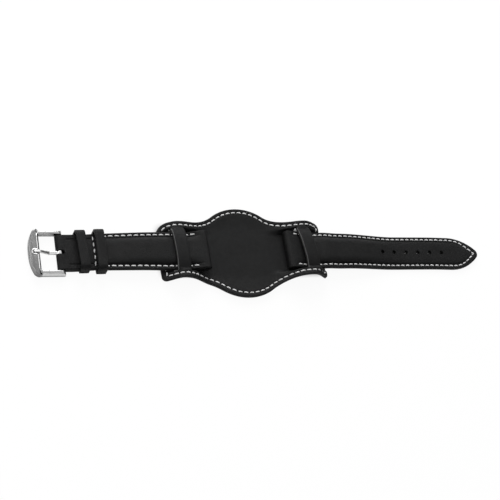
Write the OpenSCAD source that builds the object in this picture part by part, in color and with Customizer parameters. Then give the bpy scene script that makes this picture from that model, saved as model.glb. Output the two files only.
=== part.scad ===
// Leather watch strap with a removable pad that lies under the watch (a bund strap).
// Millimetres. The origin is the middle of the pad's underside, +X runs towards the
// tail's tip, +Z is up. Lengths along the strap are counted outward from the origin.

/* [Strap] */
// Width between the watch's lugs
lug_w = 20; // [18:0.5:22]
// Width at the buckle and along the tail
end_w = 18; // [16:0.5:19]
// Length of the buckle half, lug end to fold
short_len = 76; // [70:1:82]
// Length of the tail half, lug end to tip
long_len = 115; // [105:1:125]
// Where the buckle half's lug end lies on the pad
short_lug_x = 19; // [18.5:0.5:20]
// Where the tail half's lug end lies on the pad
long_lug_x = 22.5; // [21:0.5:22.5]
// Thickness of the top leather
top_t = 1.0; // [0.8:0.05:1.1]
// Thickness of the lining
lining_t = 0.9; // [0.7:0.05:1]
// Thickness of the filler under the stitched margins
filler_edge_t = 0.3; // [0.2:0.05:0.4]
// Thickness of the filler under the padded middle
filler_mid_t = 1.9; // [1.2:0.1:2]
// Thickness of the filler at the buckle and the tail's tip
filler_end_t = 0.7; // [0.5:0.1:1]
// Height of the lug ends
lug_h = 4.5; // [4.2:0.1:4.8]
// Diameter of the tunnels for the watch's spring bars
lug_bore_d = 1.9; // [1.5:0.1:2.1]
// Length of the folded-under leather behind each lug end
lug_flap_len = 11; // [9:0.5:13]
// Length of the leather that is sewn back under the strap at the buckle
fold_flap_len = 15.6; // [15:0.1:16.5]
// Bevel along the painted top edges
edge_bevel = 0.3; // [0.1:0.05:0.4]

/* [Tail] */
// Number of buckle holes
hole_count = 6; // [5:1:7]
// Distance between the buckle holes
hole_pitch = 7.2; // [6:0.1:7.5]
// Diameter of the buckle holes
hole_d = 2; // [1.6:0.1:2.4]
// Distance from the last hole to the tip
hole_inset = 22.5; // [20:0.5:26]
// Length over which the tail narrows to its tip
tip_len = 18.6; // [15:0.2:22]
// Radius of the tail's round nose
tip_r = 3; // [1.5:0.5:4]

/* [Pad] */
// Length of the pad
pad_len = 88; // [84:1:90]
// Diameter of the pad's disc
disc_d = 48; // [44:1:52]
// Width of the pad's wings
wing_w = 30; // [28:0.5:32]
// Radius where the disc runs into the wings
waist_r = 26; // [18:1:30]
// Radius of the wings' corners
wing_corner_r = 2.5; // [2:0.5:5]
// Thickness of each of the pad's two layers
pad_layer_t = 1.1; // [0.9:0.1:1.2]
// Distance from the middle to each bridge
bridge_x = 34; // [33.5:0.1:34.5]
// Length of each bridge along the strap
bridge_len = 6.6; // [6:0.1:7]
// Width of the cuts on both sides of a bridge
slit_w = 0.7; // [0.6:0.05:0.9]
// Height of the wings' underside
wing_lift = 0.7; // [0.5:0.1:1]
// Height of the pad's margins beside the buckle half's bridge
short_wave_h = 5.2; // [4.5:0.1:5.6]
// Height of the pad's margins beside the tail half's bridge
long_wave_h = 6.9; // [5.2:0.1:7]
// Length of the wave from the buckle half's bridge towards the disc
short_wave_in = 15; // [12:0.5:16]
// Length of the wave from the tail half's bridge towards the disc
long_wave_in = 15; // [15:0.5:20]
// Length of the wave from a bridge towards the wing's end
wave_out = 10; // [9.5:0.5:12]

/* [Buckle] */
// Outer width of the frame
frame_w = 23.5; // [22.8:0.1:24]
// Distance from the spring bar to the front edge
frame_reach = 15.2; // [14.5:0.1:16.5]
// Length of the front bar along the strap
front_len = 5.5; // [5:0.1:6]
// Height of the front bar's top
front_h = 4.4; // [4.2:0.1:4.8]
// Radius of the bowed front edge
front_bow_r = 24.9; // [22:0.1:30]
// Radius of the frame's outer corners
frame_corner_r = 3; // [2:0.2:4]
// Diameter of the buckle's spring bar
bar_d = 1.5; // [1.3:0.05:1.6]
// Bore of the spring bar's tube
tube_bore_d = 0.9; // [0.8:0.05:1]
// Diameter of the spring bar's tips
tip_pin_d = 0.8; // [0.6:0.05:0.85]
// Depth of the tip holes in the arms
tip_hole_depth = 1.3; // [1.1:0.1:1.6]
// Travel of each sprung tip
tip_travel = 1.2; // [1:0.1:1.4]
// Width of the tongue
tongue_w = 1.6; // [1.4:0.1:2]
// Thickness of the tongue
tongue_t = 1.0; // [0.8:0.1:1.2]
// Diameter of the tongue's eye
tongue_eye_d = 3.2; // [3:0.1:3.6]
// Length of the tongue's slot behind the spring bar
slot_back = 2.1; // [2:0.1:2.6]

/* [Keepers] */
// Length of each keeper along the strap
keeper_len = 4.6; // [4:0.1:5.5]
// Thickness of the keepers' leather
keeper_t = 1.2; // [1:0.1:1.4]
// Clear height inside the keepers
keeper_h = 5.1; // [4.8:0.1:5.6]
// Distance from the spring bar to the fixed keeper's middle
fixed_keeper_at = 10.2; // [9.5:0.1:10.6]
// Distance from the spring bar to the free keeper's middle
free_keeper_at = 19; // [18.9:0.1:20]
// Thickness of the fixed keeper's skived ends
keeper_end_t = 0.5; // [0.3:0.05:0.6]

/* [Fits] */
// Clearance between pieces that slide or swing past each other
gap = 0.3; // [0.25:0.05:0.4]
// Radial clearance of a turning or sliding pin
pin_fit = 0.05; // [0.03:0.01:0.08]
// Radial clearance of the leather loop on its bar
loop_fit = 0.1; // [0.05:0.01:0.12]

/* [Hidden] */
$fn = 48;

leather = [0.16, 0.16, 0.17];
lining_leather = [0.22, 0.21, 0.2];
filler_board = [0.45, 0.36, 0.27];
steel = [0.78, 0.78, 0.79];

// Heights: the pad's wings carry the straps, and the straps pass under the bridges
pad_t = 2 * pad_layer_t;
seat_z = wing_lift + pad_t + gap;
edge_t = lining_t + filler_edge_t + top_t;
mid_t = lining_t + filler_mid_t + top_t;
bridge_spare = [0.05, 1.25];
function bridge_z(side) = seat_z + mid_t + gap + bridge_spare[side];
function bridge_edge_z(side) = seat_z + edge_t + gap + bridge_spare[side];

// Slits in the pad, long enough for the strap's width; the pad lies flat up to seat_half
slit_spare = 1.5;
seat_spare = 0.1;
slit_half = lug_w / 2 + slit_spare;
seat_half = lug_w / 2 + seat_spare;
cutter_h = 20;
bridge_in = bridge_x - bridge_len / 2;
bridge_out = bridge_x + bridge_len / 2;

// Lug ends: a solid nose round the tunnel, then the layers begin
lug_r = lug_h / 2;
lug_bore_r = lug_bore_d / 2;
lug_web = 0.9;
lug_wall = lug_r + lug_bore_r + lug_web;
lug_fade = 7.5;
lug_z = seat_z + lug_r;

// The buckle half runs level under the bridge and then slopes down to the buckle
short_level = pad_len / 2 + 9;
bend_half = 3;
loop_r = bar_d / 2 + loop_fit + top_t;
bar_a = short_lug_x + short_len - loop_r;
bar_lift = 0.05;
bar_z = loop_r + bar_lift;
fold_solid = 3.7;
loop_wall = bar_a - fold_solid;
slope_end_z = bar_z + bar_d / 2 + loop_fit - filler_edge_t - lining_t;
short_slope = (seat_z - slope_end_z) / (loop_wall - short_level);
short_taper_end = 72;
flap_end = bar_a - fold_flap_len;
short_thin_from = bar_a - 14;
short_thin_to = bar_a - 6;
slope_angle = atan(short_slope);

// The tail half runs level under the bridge and then lies down on the table
long_level = pad_len / 2 + 11;
long_tip = long_lug_x + long_len;
long_down = 88;
long_thin_to = 98;
long_taper_end = 86;
long_flat_from = long_tip - 9;
long_flat_to = long_tip - 2;

function smooth(t) = t <= 0 ? 0 : t >= 1 ? 1 : t * t * (3 - 2 * t);
function mix(p, q, t) = p + (q - p) * t;
function soft_ramp(u, r) = u <= -r ? 0 : u >= r ? u : (u + r) * (u + r) / (4 * r);

// A solid between two sheets of points that have the same rows and columns
module between(upper, lower) {
    rows = len(upper);
    cols = len(upper[0]);
    size = rows * cols;
    function at(i, j) = i * cols + j;
    points = concat([for (row = upper) each row], [for (row = lower) each row]);
    cells = [for (i = [0:rows - 2], j = [0:cols - 2]) [i, j]];
    top = [for (c = cells) each [
        [at(c[0], c[1]), at(c[0] + 1, c[1] + 1), at(c[0] + 1, c[1])],
        [at(c[0], c[1]), at(c[0], c[1] + 1), at(c[0] + 1, c[1] + 1)]]];
    bottom = [for (f = top) [f[0] + size, f[2] + size, f[1] + size]];
    function wall(p, q) = [[p, q, q + size], [p, q + size, p + size]];
    sides = concat(
        [for (i = [0:rows - 2]) each wall(at(i, 0), at(i + 1, 0))],
        [for (i = [0:rows - 2]) each wall(at(i + 1, cols - 1), at(i, cols - 1))],
        [for (j = [0:cols - 2]) each wall(at(0, j + 1), at(0, j))],
        [for (j = [0:cols - 2]) each wall(at(rows - 1, j), at(rows - 1, j + 1))]);
    polyhedron(points = points, faces = concat(top, bottom, sides), convexity = 6);
}

// Columns across a strap, as shares of its half width, and the padding at each
across = [1, 0.96, 0.73, 0.64, 0.46, 0, -0.46, -0.64, -0.73, -0.96, -1];
crown = [0, 0, 0, 0.5, 0.92, 1, 0.92, 0.5, 0, 0, 0];
flat = [1, -1];

function taper(a, from, to) = mix(lug_w / 2, end_w / 2, min(1, max(0, (a - from) / (to - from))));
function short_half(a) = taper(a, short_lug_x + lug_r, short_taper_end);

// The tail's sides close in as an ogive that runs into a round nose
tip_from = long_tip - tip_len;
nose_a = long_tip - tip_r;
ogive_r = (pow(tip_len - tip_r, 2) + pow(end_w / 2, 2) - pow(tip_r, 2)) / (end_w - 2 * tip_r);
nose_from = tip_from + ogive_r * (tip_len - tip_r) / (ogive_r - tip_r);
least_half = 0.45;
function long_half(a) =
    a <= tip_from
    ? taper(a, long_lug_x + lug_r, long_taper_end)
    : a < nose_from
    ? sqrt(pow(ogive_r, 2) - pow(a - tip_from, 2)) - ogive_r + end_w / 2
    : max(least_half, sqrt(max(0, pow(tip_r, 2) - pow(a - nose_a, 2))));

// Underside of each half
function short_z(a) = seat_z - short_slope * soft_ramp(a - short_level, bend_half);
function long_z(a) = seat_z * (1 - smooth((a - long_level) / (long_down - long_level)));

// Filler under the margins: full height at the lug end, thin beyond it
function edge_fill(a, lug_x) =
    mix(lug_h - top_t - lining_t, filler_edge_t, smooth((a - lug_x - lug_wall) / (lug_fade - lug_wall)));

// Extra filler under the padded middle, which thins out towards the far end
function crown_fill(a, lug_x, thin_from, thin_to, end_from, end_to) =
    (filler_mid_t - filler_edge_t
        - (filler_mid_t - filler_end_t) * smooth((a - thin_from) / (thin_to - thin_from)))
    * smooth((a - lug_x - lug_wall) / (lug_fade - lug_wall))
    * (1 - smooth((a - end_from) / (end_to - end_from)));

function short_crown(a) =
    crown_fill(a, short_lug_x, short_level, short_thin_from, short_thin_from, short_thin_to);
function long_crown(a) =
    crown_fill(a, long_lug_x, long_level, long_thin_to, long_flat_from, long_flat_to);

// One row of points across a strap; lift raises the middle, drop lowers the two edges
function row(a, z, half, lift = 0, drop = 0, cols = across) =
    [for (j = [0:len(cols) - 1]) [a, half * cols[j],
        z + (len(cols) > 2 ? lift * crown[j] : 0) - (abs(cols[j]) == 1 ? drop : 0)]];

function short_in(a) =
    row(a, short_z(a) + lining_t + edge_fill(a, short_lug_x), short_half(a), short_crown(a));
function long_in(a) =
    row(a, long_z(a) + lining_t + edge_fill(a, long_lug_x), long_half(a), long_crown(a));
function short_out(a) =
    row(a, short_z(a) + lining_t + edge_fill(a, short_lug_x) + top_t, short_half(a),
        short_crown(a), edge_bevel);
function long_out(a) =
    row(a, long_z(a) + lining_t + edge_fill(a, long_lug_x) + top_t, long_half(a),
        long_crown(a), edge_bevel);

// Distances at which the sheets of each half have a row
function short_rows() = concat(
    [for (s = [0:4]) short_lug_x + lug_wall + (lug_fade - lug_wall) * s / 4],
    [for (s = [0:3]) short_level + bend_half * mix(-1, 1, s / 3)],
    [for (s = [1:4]) mix(short_level + bend_half, short_thin_from, s / 5)],
    [for (s = [0:4]) mix(short_thin_from, short_thin_to, s / 4)],
    [loop_wall]);
function long_rows() = concat(
    [for (s = [0:4]) long_lug_x + lug_wall + (lug_fade - lug_wall) * s / 4],
    [for (s = [0:10]) mix(long_level, long_down, s / 10)],
    [long_thin_to],
    [for (s = [0:5]) mix(tip_from, nose_from, s / 5)],
    [for (s = [1:6]) mix(nose_from, long_tip, sin(s * 15))]);

// The nose of a lug end, from the flap below to the top: outer and inner rows
function nose_out(lug_x, half) = concat(
    [row(lug_x + lug_flap_len, seat_z, half), row(lug_x + lug_r, seat_z, half)],
    [for (s = [1:7]) row(lug_x + lug_r - lug_r * sin(s * 22.5), lug_z - lug_r * cos(s * 22.5), half)],
    [row(lug_x + lug_r, seat_z + lug_h, half, 0, edge_bevel)]);
function nose_in(lug_x, half) = concat(
    [row(lug_x + lug_flap_len, seat_z + lining_t, half)],
    [for (s = [0:8]) row(lug_x + lug_wall, seat_z + lining_t + (lug_h - lining_t - top_t) * s / 9, half)]);

module lug_bore(lug_x) {
    translate([lug_x + lug_r, 0, lug_z])
        rotate([90, 0, 0])
            cylinder(h = lug_w + 2, r = lug_bore_r, center = true);
}

// The top leather of the buckle half wraps the lug end, and at the other end it turns
// round the spring bar and comes back under the strap as a sewn-down flap
module short_strap_top_leather() {
    half = lug_w / 2;
    end_half = short_half(bar_a);
    keeper_a = bar_a - fixed_keeper_at;
    fold_out = concat(
        [row(bar_a, bar_z + loop_r, end_half, 0, edge_bevel)],
        [for (s = [1:7]) row(bar_a + loop_r * sin(s * 22.5), bar_z + loop_r * cos(s * 22.5), end_half)],
        [row(bar_a, bar_z - loop_r, end_half)]);
    fold_in = [for (s = [1:8])
        row(loop_wall, mix(slope_end_z + lining_t + filler_edge_t, bar_z - loop_r + top_t, s / 9),
            end_half)];
    // The flap dips under the fixed keeper's ends and then lies against the lining
    dip_spare = 0.2;
    dip_run = 1;
    dip_to = keeper_a - keeper_len / 2 - dip_spare;
    flap_a = [loop_wall - loop_fit / 2, keeper_a + keeper_len / 2 + 2 * dip_spare, dip_to,
        dip_to - dip_run, flap_end];
    flap_top = [bar_z - loop_r + top_t, short_z(flap_a[1]) - keeper_end_t,
        short_z(flap_a[2]) - keeper_end_t, short_z(flap_a[3]), short_z(flap_a[4])];
    flap_in = [for (k = [0:4]) row(flap_a[k], flap_top[k], short_half(flap_a[k]))];
    flap_out = [for (k = [0:4]) row(flap_a[k], flap_top[k] - top_t, short_half(flap_a[k]))];
    rows = short_rows();
    color(leather) mirror([1, 0, 0]) difference() {
        between(
            concat(nose_out(short_lug_x, half), [for (a = rows) if (a < loop_wall) short_out(a)],
                fold_out, flap_out),
            concat(nose_in(short_lug_x, half), [for (a = rows) short_in(a)], fold_in, flap_in));
        lug_bore(short_lug_x);
        translate([bar_a, 0, bar_z])
            rotate([90, 0, 0])
                cylinder(h = end_w + 2, r = bar_d / 2 + loop_fit, center = true);
        tongue_slot();
    }
}

// The slot through the fold in which the tongue turns
module tongue_slot() {
    rotate([90, 0, 0])
        linear_extrude(height = tongue_w + 2 * gap, center = true)
            translate([bar_a - slot_back, -loop_r])
                square([slot_back + 2 * loop_r, bar_z + 3 * loop_r]);
}

module short_strap_filler() {
    rows = short_rows();
    color(filler_board) mirror([1, 0, 0])
        between([for (a = rows) short_in(a)],
            [for (a = rows) row(a, short_z(a) + lining_t, short_half(a))]);
}

module short_strap_lining() {
    from = short_lug_x + lug_flap_len;
    rows = concat([from], [for (a = short_rows()) if (a > from) a]);
    color(lining_leather) mirror([1, 0, 0])
        between([for (a = rows) row(a, short_z(a) + lining_t, short_half(a), 0, 0, flat)],
            [for (a = rows) row(a, short_z(a), short_half(a), 0, 0, flat)]);
}

module buckle_holes() {
    for (k = [0:hole_count - 1])
        translate([long_tip - hole_inset - k * hole_pitch, 0, -1])
            cylinder(h = seat_z + mid_t + 2, d = hole_d, $fn = 32);
}

module long_strap_top_leather() {
    half = lug_w / 2;
    rows = long_rows();
    color(leather) difference() {
        between(concat(nose_out(long_lug_x, half), [for (a = rows) long_out(a)]),
            concat(nose_in(long_lug_x, half), [for (a = rows) long_in(a)]));
        lug_bore(long_lug_x);
        buckle_holes();
    }
}

module long_strap_filler() {
    rows = long_rows();
    color(filler_board) difference() {
        between([for (a = rows) long_in(a)],
            [for (a = rows) row(a, long_z(a) + lining_t, long_half(a))]);
        buckle_holes();
    }
}

module long_strap_lining() {
    from = long_lug_x + lug_flap_len;
    rows = concat([from], [for (a = long_rows()) if (a > from) a]);
    color(lining_leather) difference() {
        between([for (a = rows) row(a, long_z(a) + lining_t, long_half(a), 0, 0, flat)],
            [for (a = rows) row(a, long_z(a), long_half(a), 0, 0, flat)]);
        buckle_holes();
    }
}

// Half width of the pad: a disc, a concave waist, a wing and its round corner
waist_x = sqrt(pow(disc_d / 2 + waist_r, 2) - pow(wing_w / 2 + waist_r, 2));
waist_from = waist_x * (disc_d / 2) / (disc_d / 2 + waist_r);
function pad_half(a) =
    a < waist_from ? sqrt(pow(disc_d / 2, 2) - a * a)
    : a < waist_x ? wing_w / 2 + waist_r - sqrt(pow(waist_r, 2) - pow(a - waist_x, 2))
    : a < pad_len / 2 - wing_corner_r ? wing_w / 2
    : wing_w / 2 - wing_corner_r
        + sqrt(max(0, pow(wing_corner_r, 2) - pow(a - pad_len / 2 + wing_corner_r, 2)));

// Height of the pad's underside: the margins rise in a wave beside each bridge, while
// the disc and the wing stay low under the strap and the bridge arches over it.
// Side 0 carries the buckle half and side 1 the tail half
wave_h = [short_wave_h, long_wave_h];
wave_in = [short_wave_in, long_wave_in];
seat_bow = 0.15;
function pad_margin_z(a, side) =
    let (base = wing_lift * smooth((a - bridge_x + wave_in[side]) / wave_in[side]),
        u = abs(a - bridge_x) / (a < bridge_x ? wave_in[side] : wave_out))
    base + (wave_h[side] - base) * (u < 1 ? (1 + cos(180 * u)) / 2 : 0);
function pad_middle_z(a, y, side) =
    a > bridge_in - slit_w / 2 && a < bridge_out + slit_w / 2
    ? mix(bridge_z(side), bridge_edge_z(side), pow(min(1, y / seat_half), 3))
    : (wing_lift - seat_bow * (1 - pow(min(1, y / seat_half), 2)))
        * smooth((a - bridge_x + short_wave_in) / (short_wave_in - bridge_len / 2 - slit_w))
        - seat_bow * pow(max(0, a - bridge_out) / (pad_len / 2 - bridge_out), 2);
function pad_z(a, y, side) =
    mix(pad_middle_z(a, y, side), pad_margin_z(a, side),
        smooth((y - seat_half) / (slit_half - seat_half)));

// Rows of the pad's sheets on one side of the middle, and columns across it
pad_side_rows = concat(
    [for (s = [1:4]) waist_from * s / 4],
    [for (s = [1:9]) mix(waist_from, bridge_in - slit_w * 0.9, s / 9)],
    [bridge_in - slit_w * 0.1, bridge_x, bridge_out + slit_w * 0.1, bridge_out + slit_w * 0.9],
    [for (s = [0:4]) pad_len / 2 - wing_corner_r * (1 - sin(s * 22.5))]);
pad_rows = concat([for (k = [len(pad_side_rows) - 1:-1:0]) -pad_side_rows[k]], [0], pad_side_rows);
pad_side_cols = [5, 8, seat_half, slit_half];
function pad_cols(half) = concat(
    [half, half - 0.5], [for (k = [3:-1:0]) min(pad_side_cols[k], half - 0.6 - (3 - k) * 0.05)], [0],
    [for (k = [0:3]) -min(pad_side_cols[k], half - 0.6 - (3 - k) * 0.05)], [0.5 - half, -half]);
function pad_sheet(height, drop = 0) = [for (x = pad_rows)
    let (a = abs(x), half = pad_half(a), cols = pad_cols(half), side = x < 0 ? 0 : 1)
    [for (y = cols) [x, y, pad_z(a, abs(y), side) + height - (abs(y) == half ? drop : 0)]]];

// The two cuts that part a bridge from the disc and the wing
module pad_slits() {
    for (side = [-1, 1], a = [bridge_in - slit_w / 2, bridge_out + slit_w / 2])
        translate([side * a, 0, 5])
            cube([slit_w, 2 * slit_half, cutter_h], center = true);
}

module pad_top_leather() {
    color(leather) difference() {
        between(pad_sheet(pad_t, edge_bevel), pad_sheet(pad_layer_t));
        pad_slits();
    }
}

module pad_lining() {
    color(lining_leather) difference() {
        between(pad_sheet(pad_layer_t), pad_sheet(0));
        pad_slits();
    }
}

// A rectangle with round lower and upper corners, its lower edge at the origin
module round_box(w, h, low_r, high_r) {
    translate([-w / 2 + low_r, 0])
        square([w - 2 * low_r, h / 2]);
    translate([-w / 2, low_r])
        square([w, h - low_r - high_r]);
    translate([-w / 2 + high_r, h / 2])
        square([w - 2 * high_r, h / 2]);
    for (side = [-1, 1]) {
        translate([side * (w / 2 - low_r), low_r])
            circle(r = low_r);
        translate([side * (w / 2 - high_r), h - high_r])
            circle(r = high_r);
    }
}

// A band round the strap, square to it, with its inner floor at height floor_z
keeper_low_r = 0.4;
keeper_high_r = 1.4;
module keeper_band(a, floor_z, inner_w, under_t) {
    translate([-a, 0, floor_z])
        rotate([0, -slope_angle, 0])
            rotate([90, 0, 90])
                linear_extrude(height = keeper_len, center = true)
                    difference() {
                        translate([0, -under_t])
                            round_box(inner_w + 2 * keeper_t, keeper_h + keeper_t + under_t,
                                under_t, keeper_high_r + keeper_t);
                        round_box(inner_w, keeper_h, keeper_low_r, keeper_high_r);
                    }
}

module fixed_keeper() {
    a = bar_a - fixed_keeper_at;
    color(leather)
        keeper_band(a, short_z(a), end_w + gap, keeper_end_t);
}

module free_keeper() {
    a = bar_a - free_keeper_at;
    color(leather)
        keeper_band(a, short_z(a) - gap, end_w + 4 * gap, keeper_t);
}

// Buckle frame: two arms with round ends and a broad front bar, bowed outward
arm_in = end_w / 2 + gap;
arm_w = frame_w / 2 - arm_in;
front_a = bar_a + frame_reach;
front_in = front_a - front_len;
bow_a = front_a - front_bow_r;
corner_y = frame_w / 2 - frame_corner_r;
corner_a = bow_a + sqrt(pow(front_bow_r - frame_corner_r, 2) - pow(corner_y, 2));
bow_y = corner_y * front_bow_r / (front_bow_r - frame_corner_r);

module frame_plan() {
    intersection() {
        translate([bow_a, 0])
            circle(r = front_bow_r, $fn = 96);
        translate([bar_a, -bow_y])
            square([frame_reach + 1, 2 * bow_y]);
    }
    translate([bar_a - 5, -frame_w / 2])
        square([corner_a - bar_a + 5, frame_w]);
    for (side = [-1, 1])
        translate([corner_a, side * corner_y])
            circle(r = frame_corner_r);
}

// Side view of an arm: an eye round the spring bar that runs on to the front bar
arm_step = 0.4;
module arm_side() {
    translate([bar_a, bar_z])
        circle(r = loop_r);
    polygon([[bar_a, bar_z - loop_r], [corner_a, bar_z - loop_r + arm_step],
        [corner_a, front_h - arm_step], [bar_a, bar_z + loop_r]]);
}

// Section of an arm: a bevel inside, a narrow ridge and an outer side that leans in
module arm_section() {
    foot = 0.5;
    bevel = 0.45;
    ridge = 1.1;
    polygon([[0, foot], [foot, 0], [arm_w - foot, 0], [arm_w, 2 * foot], [arm_w, loop_r + foot / 2],
        [ridge, front_h], [bevel, front_h], [0, 2 * loop_r - bevel]]);
}

// Section of the front bar: a polished bevel inside, a crown and a round front edge
module front_side() {
    edge_r = 1.3;
    low = 0.6;
    high = front_h - 0.5;
    bevel_w = 1.2;
    translate([front_a - edge_r, high - edge_r])
        circle(r = edge_r);
    translate([front_a - edge_r, low + edge_r])
        circle(r = edge_r);
    polygon([[front_in, low + 0.4], [front_in + 0.8, low - 0.1], [front_a - edge_r, low],
        [front_a, low + edge_r], [front_a, high - edge_r],
        [front_a - edge_r, high], [front_a - 2 * bevel_w, front_h - 0.1],
        [front_in + 2, front_h], [front_in + bevel_w, front_h], [front_in, front_h - edge_r]]);
}

module along_y(w) {
    rotate([90, 0, 0])
        linear_extrude(height = w, center = true)
            children();
}

module frame_arms() {
    intersection() {
        along_y(frame_w + 1)
            arm_side();
        union() {
            for (side = [0, 1])
                mirror([0, side, 0])
                    translate([bar_a, arm_in, bar_z - loop_r])
                        rotate([90, 0, 90])
                            linear_extrude(height = 3 * frame_reach, center = true)
                                arm_section();
        }
    }
}

module frame_front() {
    intersection() {
        along_y(frame_w + 1)
            front_side();
        linear_extrude(height = 2 * front_h, center = true)
            frame_plan();
    }
}

seat_fit = 0.25;
seat_inset = 1.8;
hole_lead = 0.5;
module buckle_frame() {
    color(steel) mirror([1, 0, 0]) difference() {
        union() {
            frame_arms();
            frame_front();
        }
        // Seat for the tongue's tip, open towards the strap
        translate([front_in - 1, -tongue_w / 2 - gap, tongue_rest_z - seat_fit])
            cube([1 + front_len - seat_inset, tongue_w + 2 * gap, front_h]);
        // Blind holes for the spring bar's tips
        for (side = [-1, 1])
            translate([bar_a, side * (arm_in - hole_lead), bar_z])
                rotate([-90 * side, 0, 0])
                    cylinder(h = tip_hole_depth + hole_lead, d = tip_pin_d + 2 * pin_fit, $fn = 32);
    }
}

// Tongue: an eye on the spring bar, a level blade that bends up and a tip in its seat
tongue_rest_z = front_h - 0.5;
tongue_level = 5.3;
tongue_inset = 2.4;
tongue_bend = bar_a + tongue_level;
tongue_tip = front_a - tongue_inset;

module tongue_side() {
    top = bar_z + bar_d / 2;
    lead = 0.2;
    tip_slope = 0.1;
    polygon([[bar_a, top], [tongue_bend - lead, top],
        [front_in, tongue_rest_z + tongue_t - tip_slope], [tongue_tip, tongue_rest_z + tongue_t],
        [tongue_tip, tongue_rest_z], [front_in + lead, tongue_rest_z - tip_slope],
        [tongue_bend + lead, top - tongue_t], [bar_a, top - tongue_t]]);
}

// Seen from above, the blade narrows a little and its tip is round
module tongue_plan() {
    nose = tongue_w * 0.36;
    polygon([[bar_a, -tongue_w / 2], [tongue_bend, -tongue_w / 2], [tongue_tip - nose, -nose],
        [tongue_tip - nose, nose], [tongue_bend, tongue_w / 2], [bar_a, tongue_w / 2]]);
    translate([tongue_tip - nose, 0])
        circle(r = nose, $fn = 32);
}

module buckle_tongue() {
    color(steel) mirror([1, 0, 0]) difference() {
        union() {
            intersection() {
                along_y(tongue_w + 1)
                    tongue_side();
                linear_extrude(height = 3 * front_h, center = true)
                    tongue_plan();
            }
            translate([bar_a, 0, bar_z])
                rotate([90, 0, 0])
                    cylinder(h = tongue_w, d = tongue_eye_d, center = true);
        }
        translate([bar_a, 0, bar_z])
            rotate([90, 0, 0])
                cylinder(h = tongue_w + 2, r = bar_d / 2 + pin_fit, center = true);
    }
}

// Spring bar: a tube, two shouldered tips that slide in it and a spring between them
tube_inset = 1.6;
stem_len = 3;
stop_fit = 0.1;
tube_half = arm_in - tube_inset;
stem_r = tube_bore_d / 2 - pin_fit;
stem_in = tube_half - stem_len;
shoulder_in = tube_half + tip_travel + stop_fit;

module on_bar() {
    translate([-bar_a, 0, bar_z])
        rotate([-90, 0, 0])
            children();
}

module spring_bar_tube() {
    color(steel) on_bar() difference() {
        cylinder(h = 2 * tube_half, d = bar_d, center = true);
        cylinder(h = 2 * tube_half + 1, d = tube_bore_d, center = true);
    }
}

// One tip, pointing along +Z: a stem in the tube, a shoulder and a pin in the arm
module spring_tip() {
    translate([0, 0, stem_in])
        cylinder(h = arm_in - stem_in, r = stem_r, $fn = 32);
    translate([0, 0, shoulder_in])
        cylinder(h = arm_in - gap / 3 - shoulder_in, r = bar_d / 2 - stop_fit, $fn = 32);
    translate([0, 0, arm_in - gap])
        cylinder(h = gap + tip_hole_depth - 0.15, d = tip_pin_d, $fn = 32);
}

module spring_bar_tip_far() {
    color(steel) on_bar() spring_tip();
}

module spring_bar_tip_near() {
    color(steel) on_bar() rotate([180, 0, 0]) spring_tip();
}

// The helical spring, one unbroken wire of square section between the two stems
spring_turns = 12;
spring_steps = 8;
wire_r = 0.1;
spring_r = tube_bore_d / 2 - wire_r - pin_fit;
spring_half = stem_in - wire_r;
function wire_ring(s) =
    let (turn = 360 * s / spring_steps, z = mix(-spring_half, spring_half, s / (spring_turns * spring_steps)))
    [for (k = [0:3]) let (q = 90 * k, r = spring_r + wire_r * cos(q))
        [r * cos(turn), r * sin(turn), z + wire_r * sin(q)]];

module spring_bar_spring() {
    last = spring_turns * spring_steps;
    points = [for (s = [0:last]) each wire_ring(s)];
    faces = [for (s = [0:last - 1], k = [0:3]) let (n = (k + 1) % 4) each [
        [4 * s + k, 4 * s + n, 4 * s + 4 + n], [4 * s + k, 4 * s + 4 + n, 4 * s + 4 + k]]];
    caps = [[0, 2, 1], [0, 3, 2], [4 * last, 4 * last + 1, 4 * last + 2],
        [4 * last, 4 * last + 2, 4 * last + 3]];
    color(steel) on_bar()
        polyhedron(points = points, faces = concat(faces, caps), convexity = 10);
}

pad_top_leather();
pad_lining();
short_strap_top_leather();
short_strap_filler();
short_strap_lining();
long_strap_top_leather();
long_strap_filler();
long_strap_lining();
fixed_keeper();
free_keeper();
buckle_frame();
buckle_tongue();
spring_bar_tube();
spring_bar_spring();
spring_bar_tip_far();
spring_bar_tip_near();
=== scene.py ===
from math import atan, cos, exp, hypot, pi, radians, sin, sqrt, tan

import bmesh
import bpy
import numpy as np
from mathutils import Matrix, Vector, geometry, noise


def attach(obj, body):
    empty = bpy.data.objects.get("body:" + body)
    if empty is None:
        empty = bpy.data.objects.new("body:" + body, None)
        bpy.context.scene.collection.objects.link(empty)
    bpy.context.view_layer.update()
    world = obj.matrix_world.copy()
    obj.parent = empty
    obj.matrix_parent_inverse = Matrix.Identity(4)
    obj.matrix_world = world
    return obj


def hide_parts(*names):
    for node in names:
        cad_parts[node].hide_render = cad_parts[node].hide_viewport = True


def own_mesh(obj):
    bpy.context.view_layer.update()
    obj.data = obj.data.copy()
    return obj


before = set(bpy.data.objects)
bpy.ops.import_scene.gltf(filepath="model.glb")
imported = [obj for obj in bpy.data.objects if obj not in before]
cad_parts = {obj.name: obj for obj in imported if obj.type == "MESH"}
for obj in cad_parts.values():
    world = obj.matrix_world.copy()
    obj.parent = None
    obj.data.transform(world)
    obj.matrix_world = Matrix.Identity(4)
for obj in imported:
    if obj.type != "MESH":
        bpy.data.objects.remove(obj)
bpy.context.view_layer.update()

# Leather watch strap with a removable pad under it. Lengths are in millimetres until a
# mesh is made. "a" is a distance along the strap, counted outward from the origin.
MM = 0.001
sharp_angle = 38
far_off = 9.0

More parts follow.
